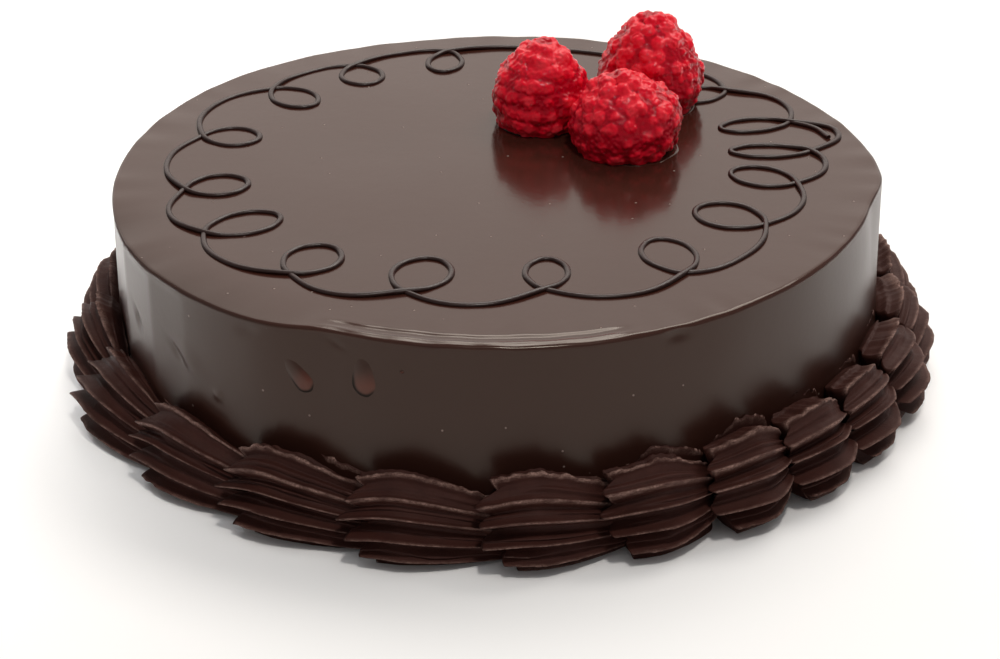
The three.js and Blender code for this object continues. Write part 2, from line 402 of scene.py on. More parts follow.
def glaze_finish():
    material, shader, place = new_finish("chocolate_glaze")
    mottle = cloud(place, MOTTLE_SCALE)
    height = place.node("ShaderNodeSeparateXYZ", {0: place}, output="Z")
    above_rim = (height - (CAKE_HEIGHT - GLAZE_RIM)) * (1 / GLAZE_RIM)
    # The top's share: it makes the top shinier, picks its specks, and paints its colour lighter, as light
    # from above
    top_share = (above_rim + (mottle - 0.5) * RIM_WAVER).ramp((0.3, 0), (1, 1))
    speck = specks(place, *TOP_SPECKS) * top_share + specks(place, *WALL_SPECKS) * (1 - top_share)
    # thin marks where a warm reflection is painted on the drips
    thin = attribute(place, "thin")
    # edge marks where a shadow is painted under the drips' ends
    edge = attribute(place, "edge")
    # The glaze's colour, with painted light: a lighter top and a warm reflection on the drips
    poured = thin.colours(top_share.colours(GLAZE_WALL, GLAZE_TOP_LIT), GLAZE_WARM_REFLECTION)
    relief = speck * SPECK_STAND
    for scale, stand in (GRAIN, SWAY):
        relief += cloud(place, scale, detail=2) * stand
    roughness = mottle * MOTTLE_ROUGHNESS + WALL_ROUGHNESS - top_share * TOP_SHINE
    place.feed(shader, {
        "Base Color": speck.colours(edge.colours(poured, GLAZE_SHADE), GLAZE_SPECK),
        "Roughness": roughness + speck * SPECK_ROUGHNESS + edge * EDGE_ROUGHNESS,
        "IOR": GLAZE_IOR,
        "Specular Tint": GLAZE_TINT,
        "Normal": bump(relief, GLAZE_RELIEF),
    })
    return material


glaze = glaze_finish()
print("finish:", glaze.name)

# %% [markdown]
# ## Glazed body
# The body is a low disc, turned like a pot: half an outline with a bevelled lip is spun round the axis,
# with its edges split finely where marks will be. Then every vertex is moved. A sculpting brush could do
# that, but a few formulas with real sizes can be changed and run again. This cell holds them: the wall
# wavers, leans back a little at the front and right, and has flats and dents where the glaze was scraped.
# The lip sinks a little on the left, and carries a fine fold and a step along the front.

# %% Relief of the glaze
CAKE_SHIFT = 1.1 * MM
WAVER = 0.35 * MM
# Waves round the wall, and the phase of each
WAVES = [(2, 0.6), (5, 2)]
RIPPLE = 0.3 * MM
RIPPLE_LENGTH = 24 * MM
# Amount, first and last angle in degrees, and fade in degrees of the wall's lean and of the lip's fall
LEAN = (2.7 * MM, 247, 347, 14)
LEAN_FROM = 12 * MM
LIP_FALL = (0.8 * MM, 200, 232, 14)
LIP_FALL_RING = 14 * MM
LIP_STRAY = 0.22 * MM
LIP_STRAY_LENGTH = 6 * MM
# Scraped flats of the wall, from one angle in degrees to another
FLATS = [(187, 203), (203, 212.5), (212.5, 221)]
FLATS_TOP = 2 * MM
# Marks on the wall, in millimetres and degrees: angle, depth under the top, half-width, half-length, lean
# and relief
WALL_MARKS = [
    (207.2, 14, 0.7, 2.4, 30, -0.5),
    (219, 14.6, 0.8, 3, 54, -0.4),
    (222, 14.6, 2.5, 4, 54, 0.3),
    (227.6, 19, 0.9, 0.9, 0, 0.35),
    (233.5, 2.4, 2.4, 1.2, 20, -0.35),
    (246.5, 2.6, 0.4, 1.8, 65, -0.2),
    (295.1, 1.6, 2.4, 1.2, 0, -0.4),
    (303, 9, 9, 8, 0, 0.25),
]
# Distance in from the lip, relief and width of its fold and of the step behind it
LIP_FOLD = (1.5 * MM, 0.17 * MM, 0.5 * MM)
LIP_STEP = (3.3 * MM, 0.22 * MM, 1.1 * MM)
LIP_FOLD_REACH = (1, 248, 284, 6)
LIP_FOLD_WANDER = 0.4 * MM
LIP_FOLD_WAVE = 7 * MM


def wall_radius(angle):
    """The wall's own waver and shift, the same as the solid's."""
    waver = sum(math.sin(count * angle + phase) for count, phase in WAVES)
    return WALL_RADIUS + WAVER * waver - CAKE_SHIFT * math.cos(angle)


def angle_from(angle, degrees):
    """Turn from a direction in degrees to an angle, in radians between -pi and pi."""
    return (angle - math.radians(degrees) + math.pi) % (2 * math.pi) - math.pi


def sector(angle, amount, first, last, fade):
    """An amount inside a range of angles in degrees, fading out beyond its ends."""
    middle = (first + last) / 2
    beyond = abs(math.degrees(angle_from(angle, middle))) - (last - first) / 2
    return amount * smooth(1 - beyond / fade)


def flat_relief(angle):
    """How far a scraped flat lies inside the round wall."""
    for first, last in FLATS:
        half = math.radians(last - first) / 2
        off = angle_from(angle, (first + last) / 2)
        if abs(off) < half:
            return WALL_RADIUS * (math.cos(half) / math.cos(off) - 1)
    return 0


def wall_relief(angle, height):
    """How far the glaze stands out from the even wall."""
    depth = CAKE_HEIGHT - height
    relief = RIPPLE * noise.noise(turn(WALL_RADIUS, angle, height) / RIPPLE_LENGTH)
    relief += flat_relief(angle) * clamp(depth / FLATS_TOP)
    for degrees, mark_depth, half_width, half_length, lean, stand in WALL_MARKS:
        across = WALL_RADIUS / MM * angle_from(angle, degrees)
        up = mark_depth - depth / MM
        slant = math.radians(lean)
        along = up * math.cos(slant) - across * math.sin(slant)
        aside = across * math.cos(slant) + up * math.sin(slant)
        relief += MM * stand * swell(aside, half_width) * swell(along, half_length)
    return relief


def lip_relief(angle, inward):
    """How far the lip's fold and step stand up, at a distance in from the lip."""
    wander = LIP_FOLD_WANDER * noise.noise(turn(WALL_RADIUS, angle, 0) / LIP_FOLD_WAVE)
    place, stand, width = LIP_FOLD
    fold = stand * swell(inward - place + wander, width)
    place, drop, width = LIP_STEP
    step = drop * smooth(1 - (inward - place + wander) / width)
    return sector(angle, *LIP_FOLD_REACH) * (fold - step)


def lip_fall(angle, radius, height):
    """How far the lip sinks."""
    stray = LIP_STRAY * noise.noise(turn(WALL_RADIUS, angle, 0) / LIP_STRAY_LENGTH)
    near_lip = clamp((radius - WALL_RADIUS + LIP_FALL_RING) / LIP_FALL_RING)
    return (sector(angle, *LIP_FALL) + stray) * near_lip ** 2 * clamp(height / CAKE_HEIGHT)


def wall_lean(angle, height):
    """How far the wall leans back at a height."""
    return sector(angle, *LEAN) * clamp((height - LEAN_FROM) / (CAKE_HEIGHT - LEAN_FROM))


print("relief:", len(FLATS), "flats and", len(WALL_MARKS), "marks on the wall")

# %% [markdown]
# The disc itself: the outline is bevelled before it is split, because a bevel needs a long edge on each
# side. The vertices crowd towards the front, where the marks are.

# %% Glazed body
LIP_BEVEL = 0.8 * MM
BEVEL_STEPS = 6
RIM_RING = 10 * MM
TOP_STEP = 1.4 * MM
RIM_STEP = 0.25 * MM
WALL_STEP = 0.5 * MM
ROUND_STEPS = 560
FRONT_CROWD = 0.45
TOP_SWELL = 0.12 * MM
TOP_SWELL_LENGTH = 30 * MM
RELIEF_FADE = 8
TOUCHING = 1e-6


def pour(point):
    """Where a vertex of the even disc goes on the poured cake."""
    radius = math.hypot(point.x, point.y)
    even_angle = math.atan2(point.y, point.x)
    angle = even_angle - FRONT_CROWD * math.cos(even_angle)
    level = TOP_SWELL * noise.noise(turn(radius, angle, point.z) / TOP_SWELL_LENGTH)
    on_top = clamp((point.z - CAKE_HEIGHT + LIP_BEVEL) / LIP_BEVEL)
    rise = on_top ** 2 * (level + lip_relief(angle, WALL_RADIUS - radius))
    rise -= lip_fall(angle, radius, point.z)
    share = clamp(radius / WALL_RADIUS)
    out = (1 - on_top) * wall_relief(angle, point.z) * share ** RELIEF_FADE
    reach = wall_radius(angle) - wall_lean(angle, point.z)
    return turn(share * reach + out, angle, point.z + rise)


def split_length(edge):
    """How long the pieces of an outline's edge may be: short where marks will be."""
    middle = (edge.verts[0].co + edge.verts[1].co) / 2
    if middle.z < RIM_STEP:
        return WALL_RADIUS
    if middle.z < CAKE_HEIGHT - LIP_BEVEL:
        return WALL_STEP
    return TOP_STEP if middle.x < WALL_RADIUS - RIM_RING else RIM_STEP


def turned_disc():
    """Half an outline with a bevelled lip, split and spun round the axis."""
    bm = bmesh.new()
    lip = (WALL_RADIUS, CAKE_HEIGHT)
    ring = (WALL_RADIUS - RIM_RING, CAKE_HEIGHT)
    corners = [(0, 0), (WALL_RADIUS, 0), lip, ring, (0, CAKE_HEIGHT)]
    outline = [bm.verts.new((x, 0, z)) for x, z in corners]
    for pair in zip(outline, outline[1:]):
        bm.edges.new(pair)
    bmesh.ops.bevel(
        bm, geom=[outline[2]], offset=LIP_BEVEL, offset_type="OFFSET", affect="VERTICES",
        segments=BEVEL_STEPS, profile=0.5, material=-1,
    )
    for edge in bm.edges[:]:
        cuts = int(edge.calc_length() / split_length(edge))
        if cuts:
            bmesh.ops.subdivide_edges(bm, edges=[edge], cuts=cuts)
    bmesh.ops.spin(
        bm, geom=bm.verts[:] + bm.edges[:], cent=(0, 0, 0), axis=(0, 0, 1), dvec=(0, 0, 0),
        angle=2 * math.pi, steps=ROUND_STEPS, use_merge=True,
    )
    bmesh.ops.remove_doubles(bm, verts=bm.verts[:], dist=TOUCHING)
    return bm


body = turned_disc()
for vertex in body.verts:
    vertex.co = pour(vertex.co)
cake = bmesh_piece("glazed_body", body, glaze, ["cake_body"])
print("glazed body:", len(cake.data.polygons), "faces")

# %% [markdown]
# ## Drips on the wall
# Two runs of glaze stopped on the wall, each a tongue that rises out of it and ends in a thick round bead,
# and a bubble set beside them. They could be pushed out of the wall's own mesh, but their lower ends are
# crisp, so each is a ball of its own, drawn out upwards and bent onto the wall. It is a dome at its end and
# fades into the wall above. The attribute thin marks the bead, where a warm reflection is painted, and
# edge the painted shadow under it.

# %% Drips on the wall
# Angle in degrees and depth under the top of the round end and of the upper end, half-width, and thickness
DRIPS = {
    "drip_left": ((242.0, 11.2 * MM), (238.2, 5.5 * MM), 2.2 * MM, 0.55 * MM),
    "drip_right": ((250.9, 9.4 * MM), (250.0, 3.0 * MM), 2.8 * MM, 0.55 * MM),
    "bubble": ((256.2, 6.0 * MM), (256.2, 5.7 * MM), 0.45 * MM, 0.4 * MM),
}
DRIP_SINK = 0.12 * MM
DRIP_BACK = 0.4 * MM
DRIP_END = 1.4
DRIP_FADE = 5
DRIP_SIDES = 48
DRIP_ROWS = 40
# Where the painted warm reflection starts and how far it takes to show, along the drip and up its dome, in
# shares
REFLECTION_ALONG = (-0.5, 0.6)
REFLECTION_DOME = (0.5, 0.35)
# The same for the painted shadow under the drip's end, and how far it turns to the drip's side
SHADOW_ALONG = (-0.1, 0.5)
SHADOW_DOME = (0.85, -0.3)
SHADOW_SIDE = 0.6


def on_wall(spot, out):
    """A point on the wall, from its way round in metres, its depth under the top, and its stand."""
    angle = spot.x / WALL_RADIUS
    height = CAKE_HEIGHT - spot.y
    radius = wall_radius(angle) - wall_lean(angle, height) + wall_relief(angle, height)
    return turn(radius + out, angle, height - lip_fall(angle, WALL_RADIUS, height))


def drip_piece(name, end, start, half_width, thickness):
    bm = unit_ball(DRIP_SIDES, DRIP_ROWS)
    # thin: where a warm reflection is painted on the drip
    thin = bm.verts.layers.float.new("thin")
    # edge: where a shadow is painted under the drip's end
    edge = bm.verts.layers.float.new("edge")
    foot = Vector((math.radians(end[0]) * WALL_RADIUS, end[1]))
    head = Vector((math.radians(start[0]) * WALL_RADIUS, start[1]))
    down = (foot - head).normalized()
    aside = Vector((-down.y, down.x))
    for vertex in bm.verts:
        sideways, dome, drop = vertex.co
        rise = clamp(-drop)
        spot = foot + aside * sideways * half_width
        spot += down * half_width * drop if drop > 0 else (foot - head) * drop
        fade = mix(DRIP_END, DRIP_FADE, max(rise, clamp(-sideways)))
        stand = thickness * dome ** fade if dome > 0 else DRIP_BACK * dome
        low = drop + SHADOW_SIDE * sideways
        vertex[thin] = eased(drop, *REFLECTION_ALONG) * eased(dome, *REFLECTION_DOME)
        vertex[edge] = eased(low, *SHADOW_ALONG) * eased(dome, *SHADOW_DOME)
        vertex.co = on_wall(spot, stand - DRIP_SINK)
    return bmesh_piece(name, bm, glaze)


drips = [drip_piece(name, *facts) for name, facts in DRIPS.items()]
print("drips:", [drip.name for drip in drips])

# %% [markdown]
# ## Piped cream finish
# The border is chocolate cream from a bag: matte and dark, with a pale line along its thin sharp edges,
# partly dried cream and partly painted highlight. Each shell carries an attribute called ridge, 1 on its
# sharp edges and 0 in its grooves, and the finish reads that to paint the pale line on the edges, broken up
# in patches. A fine grain breaks up the faces.

# %% Piped cream finish
CREAM_DARK = (0.030, 0.0088, 0.0064, 1)
CREAM_LIGHT = (0.060, 0.0190, 0.0138, 1)
# The pale colour of the edges: partly dried cream, partly painted highlight
CREAM_EDGE = (0.32, 0.195, 0.162, 1)
# Noise per metre of the cream's mottle, the patches of its pale edges and its grain
CREAM_MOTTLE = 220
CREAM_PATCHES = 380
CREAM_GRAIN = 2600
CREAM_ROUGHNESS = 0.66
CREAM_SHEEN = 0.12
CREAM_RELIEF = 0.25 * MM


def cream_finish():
    material, shader, place = new_finish("piped_cream")
    ridge = attribute(place, "ridge")
    mottle = cloud(place, CREAM_MOTTLE)
    grain = cloud(place, CREAM_GRAIN, detail=4, roughness=0.7)
    patches = cloud(place, CREAM_PATCHES, detail=2)
    # A pale line along the edges, partly dried cream and partly painted highlight
    dried_and_highlight = ridge.ramp((0.42, 0), (0.9, 1))
    dried_and_highlight *= grain.ramp((0.35, 0.1), (0.62, 1))
    dried_and_highlight *= patches.ramp((0.35, 0.25), (0.6, 1))
    place.feed(shader, {
        "Base Color": dried_and_highlight.colours(mottle.colours(CREAM_DARK, CREAM_LIGHT), CREAM_EDGE),
        "Roughness": CREAM_ROUGHNESS - mottle * CREAM_SHEEN,
        "Specular IOR Level": 0.18,
        "Normal": bump(grain * 0.7 + mottle * 0.3, CREAM_RELIEF, 0.7),
    })
    return material


cream = cream_finish()
print("finish:", cream.name)

# %% [markdown]
# ## Piped line of loops
# A thin line of cream runs round the top in sixteen loops, and crosses itself at each. It could be a row of
# rings, but the hand drew one line, so it is one curve with a round bevel. Each loop is a crossing, a tip
# and a width. The second pass over a crossing is lifted, because it lies on the first. The mesh is then
# pressed a little flat, as soft cream settles.

# %% Piped line of loops
LINE_SHADE = (0.016, 0.0062, 0.0044, 1)
LINE_RADIUS = 0.58 * MM
LINE_HEIGHT = CAKE_HEIGHT + 0.2 * MM
LINE_LIFT = 0.3 * MM
LINE_UNEVEN = 0.08
LINE_FLATNESS = 0.8
LINE_STEPS = 14
LINE_ROUND_STEPS = 4
LINE_SEED = 5
LINE_MOTTLE = 500
LINE_GRAIN = 1400
LINE_ROUGHNESS = 0.22
LINE_DULL = 0.2
LINE_RELIEF = 0.06 * MM
# Crossing, tip, width and bow of each loop in millimetres, clockwise from the back, as in the solid
LOOPS = [
    ((32, 59.5), (27.5, 50), 8.5, 3),
    ((48.7, 44), (37, 39), 8, 5),
    ((61, 26.5), (46.2, 23), 6.5, 8),
    ((64, 11), (47.4, 11), 6, 4),
    ((59.5, -5), (46.8, 0.8), 9, 3),
    ((51.5, -24.5), (38.5, -17.2), 11, 3),
    ((34.5, -46), (29.5, -31.5), 10, 4.5),
    ((8, -53), (8.5, -40), 8, 4.5),
    ((-18, -54), (-13, -40), 11, 4),
    ((-40, -46.5), (-33, -34.5), 10.5, 4),
    ((-58, -28.5), (-44, -20.5), 9.5, 4),
    ((-64, -8), (-51.5, -4.5), 9.5, 4),
    ((-63, 19), (-51, 18), 9, 5),
    ((-50, 45), (-41, 35.5), 9, 2.2),
    ((-33, 58.5), (-29.5, 47.5), 9, 2),
    ((-12, 67), (-13.5, 55), 7.5, 1.5),
]
# Half outline of one loop, from its crossing to its tip: depth and half-width as shares
LOOP_OUTLINE = [(0.25, 0.75), (0.6, 1), (0.9, 0.6)]
# Where the line was begun, beside its end
LINE_START = [(61, 26.5), (66, 23), (68.5, 18)]


def bow_point(loop, following):
    """The bowed point of the line halfway between two loops."""
    first = Vector(loop[0])
    second = Vector(following[0])
    reach = (first.length + second.length) / 2 + loop[3]
    return (first + second).normalized() * reach


def loop_route(loop):
    """Points of one loop with their lifts, from its first crossing to its second."""
    cross, tip, width, _ = loop
    cross = Vector(cross)
    along = Vector(tip) - cross
    across = along.orthogonal().normalized() * width / 2
    going = [(cross + along * depth + across * side, 0) for depth, side in LOOP_OUTLINE]
    coming = [(cross + along * depth - across * side, 0) for depth, side in reversed(LOOP_OUTLINE)]
    return [(cross, 0), *going, (cross + along, 0), *coming, (cross, LINE_LIFT)]


def add_strand(curve, route, closed, draw):
    """Add a smooth strand through points on the top, uneven in thickness."""
    strand = curve.splines.new("BEZIER")
    strand.bezier_points.add(len(route) - 1)
    strand.use_cyclic_u = closed
    strand.resolution_u = LINE_STEPS
    for knot, (spot, lift) in zip(strand.bezier_points, route):
        knot.co = (spot.x * MM, spot.y * MM, LINE_HEIGHT + lift)
        knot.handle_left_type = "AUTO"
        knot.handle_right_type = "AUTO"
        knot.radius = 1 + LINE_UNEVEN * draw.uniform(-1, 1)


def line_finish():
    material, shader, place = new_finish("line_glaze")
    mottle = cloud(place, LINE_MOTTLE)
    place.feed(shader, {
        "Base Color": mottle.colours(LINE_SHADE, CREAM_DARK),
        "Roughness": mottle * LINE_DULL + LINE_ROUGHNESS,
        "IOR": GLAZE_IOR,
        "Normal": bump(cloud(place, LINE_GRAIN), LINE_RELIEF),
    })
    return material


line_draw = random.Random(LINE_SEED)
line_curve = bpy.data.curves.new("line_curve", "CURVE")
line_curve.dimensions = "3D"
line_curve.bevel_depth = LINE_RADIUS
line_curve.bevel_resolution = LINE_ROUND_STEPS
line_curve.use_fill_caps = True
line_route = []
for loop, before in zip(LOOPS, LOOPS[-1:] + LOOPS[:-1]):
    line_route.append((bow_point(before, loop), 0))
    line_route.extend(loop_route(loop))
add_strand(line_curve, line_route, True, line_draw)
add_strand(line_curve, [(Vector(spot), LINE_LIFT / 2) for spot in LINE_START], False, line_draw)
line_mesh = baked_mesh(add_object("line_curve", line_curve))
for vertex in line_mesh.vertices:
    vertex.co.z = mix(CAKE_HEIGHT, vertex.co.z, LINE_FLATNESS)
line = add_piece("piped_line", line_mesh, line_finish(), ["cake_body"])
print("piped line:", len(line.data.polygons), "faces in", len(LOOPS), "loops")

# %% [markdown]
# ## Piped shells
# A star nozzle makes each shell: it swells into a broad fluted head, then drags to a thin tail, which the
# next head covers. On the right side the tail lies raised on the next head instead. A shell could be
# sculpted, but twenty-four would take a day. Here each is a sphere whose poles become the head and the
# tail, with its rows spread along the shell and its meridians round it, over six blades with sharp edges.

# %% Sizes of a shell
SHELL_COUNT = 24
SHELL_FIRST = 218.5
SHELL_WAVE = 5
SHELL_WAVE_PHASE = -12.5
SHELL_BEND = WALL_RADIUS + 8 * MM
SHELL_SQUEEZE = 0.03
SHELL_UNEVEN = 0.03
# From the wall over the crest to the foot: how far out and up each edge lies, how far its tip lies
# behind the foremost one, how deep the groove under it is, and how torn it is, in millimetres
EDGES = [
    (-0.5, 15.0, 4.6, 0.0, 0.9),
    (5.2, 18.2, 1.8, 1.2, 1.1),
    (8.2, 14.7, 0.5, 2.0, 0.25),
    (10.1, 11.3, 0.0, 2.7, 0.2),
    (11.6, 7.2, 1.6, 3.5, 0.2),
    (11.0, 3.0, 4.6, 4.0, 0.3),
    (7.5, 0.0, 7.0, 0.0, 0.1),
]
BLADES = len(EDGES) - 1
EDGE_STRAY = 0.35 * MM
EDGE_WANDER = 0.6 * MM
WANDER_LENGTH = 9 * MM
TEAR_LENGTH = 1.3 * MM
# Lanes in the noise, one for each edge and each kind of unevenness
LANE_GAP = 3.7
TEAR_LANE = 9
WANDER_LANE = 20
SEAM_LANE = 40
SEED_REACH = 50
GROOVE_CENTRE = Vector((1.5 * MM, 5 * MM))
GROOVE_SHARE = 0.24
GROOVE_UNEVEN = (0.8, 1.2)
FACE_BEND = (0.25, 0.7)
OUTER_SHARE = 0.86
INNER_CORNER = Vector((-6 * MM, -2 * MM))
MERIDIANS = 168
ROWS = 64
CAP_SHARE = 0.12
CAP_EASE = 1.5
HEAD_HOLLOW = 5 * MM
# A value for shells of the right side, then one for the others: where the head starts and ends, how broad
# and tall head and tail are, how far the tail runs on and drops, and the tips, rolled edges and grooves
SHAPES = {
    "first": (1.2 * MM, 3.4 * MM),
    "head_end": (12 * MM, 7 * MM),
    "head_spread": (Vector((0.8, 0.92)), Vector((1.06, 0.84))),
    "tail_spread": (Vector((0.68, 0.68)), Vector((0.49, 0.8))),
    "tuck": (2.5 * MM, 10 * MM),
    "tail_drop": (-3 * MM, 1.8 * MM),
    "tip_reach": (2.0 * MM, 2.8 * MM),
    "roll_height": (0.3 * MM, 0.42 * MM),
    "groove_depth": (1.2, 1.1),
}
SPLAY_END = 0.6
DROP_FROM = 3.6 * MM
TAIL_EASE = 1.4
TAIL_CLOSE = 3 * MM
TIP_ROUND = 0.6 * MM
TIP_SHARE = 0.8
TIP_STRAY = 0.8 * MM
WALL_SINK = 0.6 * MM
WALL_NEAR = 4 * MM
WALL_RISE = 3.6 * MM
CREST = 1
CREST_STEPS = 3
CREST_STEP = 0.9 * MM
CREST_STEP_LENGTH = 0.6 * MM
HEAD_CUT = 0.7
TEAR_LEAST = 0.5
ROLL_PLACE = 0.07
ROLL_WIDTH = 0.09
GROOVE_SPAN = 0.3
FACE_HOLLOW = 0.45 * MM
# The second, smaller edge of each face, with its place, rise and width in shares of the face
SEAM_HEIGHT = 1.6 * MM
SEAM_RISE = 0.3
SEAM_WIDTH = 0.08
SEAM_PLACES = (0.35, 0.65)
SEAM_SHARES = (0.3, 1)
SEAM_SHOWN = 0.6
# The higher the power, the thinner the pale line along an edge, partly painted highlight
PALE_POWER = 6
CREST_PALE_POWER = 1.2
SEAM_PALE = 0.8
STRIAE = 60
STRIA_DEPTH = 0.2 * MM
# Shells that reach further out than the rest
SHELL_REACH = {23: 1.12, 22: 1.06}
SHELL_SEED = 7


def shell_start(index):
    """The angle at which a shell's head starts, the same as the solid's."""
    even = 360 / SHELL_COUNT * index
    wave = SHELL_WAVE * math.sin(math.radians(2 * even + SHELL_WAVE_PHASE))
    return math.radians(SHELL_FIRST + even + wave)


print("a shell has", BLADES, "blades")

# %% [markdown]
# One shell's shape, as a class that holds its own random draws. Its section is a row of blades round a
# centre: each has a face that runs out to a sharp edge, and an undercut groove behind that edge. The
# section swells and shrinks along the shell, and the head's end is cut back between the tips.


# %% One shell's shape
class Shell:
    """One shell's own draw of edges, tips and torn places."""

    def __init__(self, index, draw):
        self.start = shell_start(index)
        self.splay = smooth(SPLAY_END - math.cos(self.start))
        for name, (right, usual) in SHAPES.items():
            setattr(self, name, mix(right, usual, self.splay))
        turned = shell_start(index + 1) - self.start
        self.length = turned * SHELL_BEND
        self.end = self.length + self.tuck
        self.seed = Vector([draw.uniform(0, SEED_REACH) for _ in range(3)])
        squeeze = 360 / SHELL_COUNT - math.degrees(turned)
        self.tallness = 1 + SHELL_SQUEEZE * squeeze + SHELL_UNEVEN * draw.uniform(-1, 1)
        self.reach = SHELL_REACH.get(index, 1)
        self.steps = []
        for _ in range(CREST_STEPS):
            self.steps.append((draw.uniform(0, self.length), CREST_STEP * draw.uniform(-1, 1)))
        self.edges = []
        self.tips = []
        self.grooves = []
        self.seams = []
        for out, up, tip, groove, _ in EDGES:
            stray = Vector((draw.uniform(-1, 1), draw.uniform(-1, 1))) * EDGE_STRAY
            self.edges.append(Vector((out * self.reach * MM, up * MM)) + stray)
            self.tips.append(tip * MM - self.first + TIP_STRAY * draw.uniform(-1, 1))
            self.grooves.append(groove * MM * self.groove_depth * draw.uniform(*GROOVE_UNEVEN))
            self.seams.append((draw.uniform(*SEAM_PLACES), draw.uniform(*SEAM_SHARES)))

    def wobble(self, along, edge, length):
        return noise.noise(self.seed + Vector((along / length, edge * LANE_GAP, 0)))

    def swelled(self, spot, along):
        """A point of the middle section, moved as the shell swells and shrinks."""
        head = math.sin(clamp((along + self.first) / (self.head_end + self.first)) * math.pi / 2)
        tail = (max(along - self.head_end, 0) / (self.length - self.head_end)) ** TAIL_EASE
        closing = clamp((self.end - along) / TAIL_CLOSE)
        whole = Vector((1, 1))
        spread = self.head_spread.lerp(whole, head) * whole.lerp(self.tail_spread, tail)
        spread *= math.sqrt(1 - (1 - closing) ** 2)
        drop = self.tail_drop * tail * clamp(spot.y / DROP_FROM)
        return Vector((spot.x * spread.x, spot.y * spread.y * self.tallness - drop))

    def outward(self, number):
        return (self.edges[number] - GROOVE_CENTRE).normalized()

    def edge(self, number, along):
        """Where one blade's edge lies at a place along the shell, torn and wandering."""
        tear = EDGES[number][4] * MM * (TEAR_LEAST + abs(self.wobble(along, number, WANDER_LENGTH)))
        ragged = tear * self.wobble(along, number + TEAR_LANE, TEAR_LENGTH)
        wander = EDGE_WANDER * self.wobble(along, number + WANDER_LANE, WANDER_LENGTH)
        if number <= CREST:
            wander += sum(step * smooth((along - place) / CREST_STEP_LENGTH) for place, step in self.steps)
        spot = self.swelled(self.edges[number] + self.outward(number) * (ragged + wander), along)
        if number == 0:
            spot.y += WALL_RISE * smooth(along / self.length)
        return spot

    def root(self, number, along):
        """The bottom of the groove under an edge."""
        cut = 1 + HEAD_CUT * clamp(1 - (along + self.first) / (self.head_end + self.first))
        return self.swelled(self.edges[number] - self.outward(number) * self.grooves[number] * cut, along)

    def roll(self, number, short):
        """The thick roll along a blade's edge, at a share short of it."""
        return self.outward(number) * self.roll_height * swell(short - ROLL_PLACE, ROLL_WIDTH)

    def seam(self, number, along, face):
        """The second edge of a blade's face: a share of its height, which fades in and out along it."""
        short = self.seams[number][0] - face
        rise = smooth(1 - short / SEAM_RISE) if short > 0 else smooth(1 + short / SEAM_WIDTH)
        return rise * clamp(SEAM_SHOWN + self.wobble(along, number + SEAM_LANE, WANDER_LENGTH))

    def blade(self, around):
        """The blade that a direction round the shell falls on, and its shares of groove and of face."""
        place = around / OUTER_SHARE * BLADES
        number = min(int(place), BLADES - 1)
        phase = place - number
        return number, clamp(phase / GROOVE_SHARE), clamp((phase - GROOVE_SHARE) / (1 - GROOVE_SHARE))

    def section(self, around, along):
        """A point of the shell's section as (out, up), and how near it is to a blade's edge."""
        if around >= OUTER_SHARE:
            step = (around - OUTER_SHARE) / (1 - OUTER_SHARE)
            return bent(self.edge(BLADES, along), INNER_CORNER, self.edge(0, along), step), 0
        number, groove, face = self.blade(around)
        root = self.root(number, along)
        if groove < 1:
            spot = self.edge(number, along).lerp(root, groove)
            return spot + self.roll(number, -groove * GROOVE_SPAN), 1 - groove
        number += 1
        edge = self.edge(number, along)
        bend = Vector((mix(root.x, edge.x, FACE_BEND[0]), mix(root.y, edge.y, FACE_BEND[1])))
        fold = self.seam(number - 1, along, face)
        share = self.seams[number - 1][1]
        stria = STRIA_DEPTH * noise.noise(self.seed + Vector((0, 0, around * STRIAE)))
        relief = SEAM_HEIGHT * share * fold + (stria - FACE_HOLLOW) * math.sin(math.pi * face)
        spot = bent(root, bend, edge, face) + self.outward(number) * relief + self.roll(number, 1 - face)
        late = clamp(along / self.length)
        power = mix(PALE_POWER, CREST_PALE_POWER, late) if number == CREST else PALE_POWER
        return spot, max(face ** power, fold ** PALE_POWER * share * SEAM_PALE)

    def head(self, around):
        """Where the head's end lies: at round tips on the edges, and further back between."""
        if around < OUTER_SHARE:
            number, groove, face = self.blade(around)
            back = max(self.tips[number], self.tips[number + 1]) + self.tip_reach
            if groove < 1:
                return mix(self.tips[number] + TIP_ROUND, back, groove)
            tip = mix(back, self.tips[number + 1], math.sin(clamp(face / TIP_SHARE) * math.pi / 2))
            return tip + TIP_ROUND * clamp((face - TIP_SHARE) / (1 - TIP_SHARE)) ** 2
        step = (around - OUTER_SHARE) / (1 - OUTER_SHARE)
        return mix(self.tips[-1], self.tips[0], step) + TIP_ROUND

    def place(self, polar, around):
        """Where a vertex of the unit sphere goes, and its ridge value."""
        cap = clamp(polar / CAP_SHARE)
        share = clamp((polar - CAP_SHARE) / (1 - CAP_SHARE))
        along = mix(self.head(around), self.end, share)
        spot, ridge = self.section(around, along)
        spot = GROOVE_CENTRE.lerp(spot, cap)
        along = mix(HEAD_HOLLOW, along, cap ** CAP_EASE)
        angle = self.start + along / SHELL_BEND
        base = mix(wall_radius(angle), WALL_RADIUS, smooth(spot.x / WALL_NEAR))
        radius = max(base + spot.x, wall_radius(angle) - WALL_SINK)
        return turn(radius, angle, max(spot.y, 0)), ridge * cap


print("the first shell starts at", round(math.degrees(shell_start(0)), 1), "degrees")

# %% [markdown]
# Each shell starts as a ball from an operator, and only its vertices are moved, so that its mesh stays
# closed.


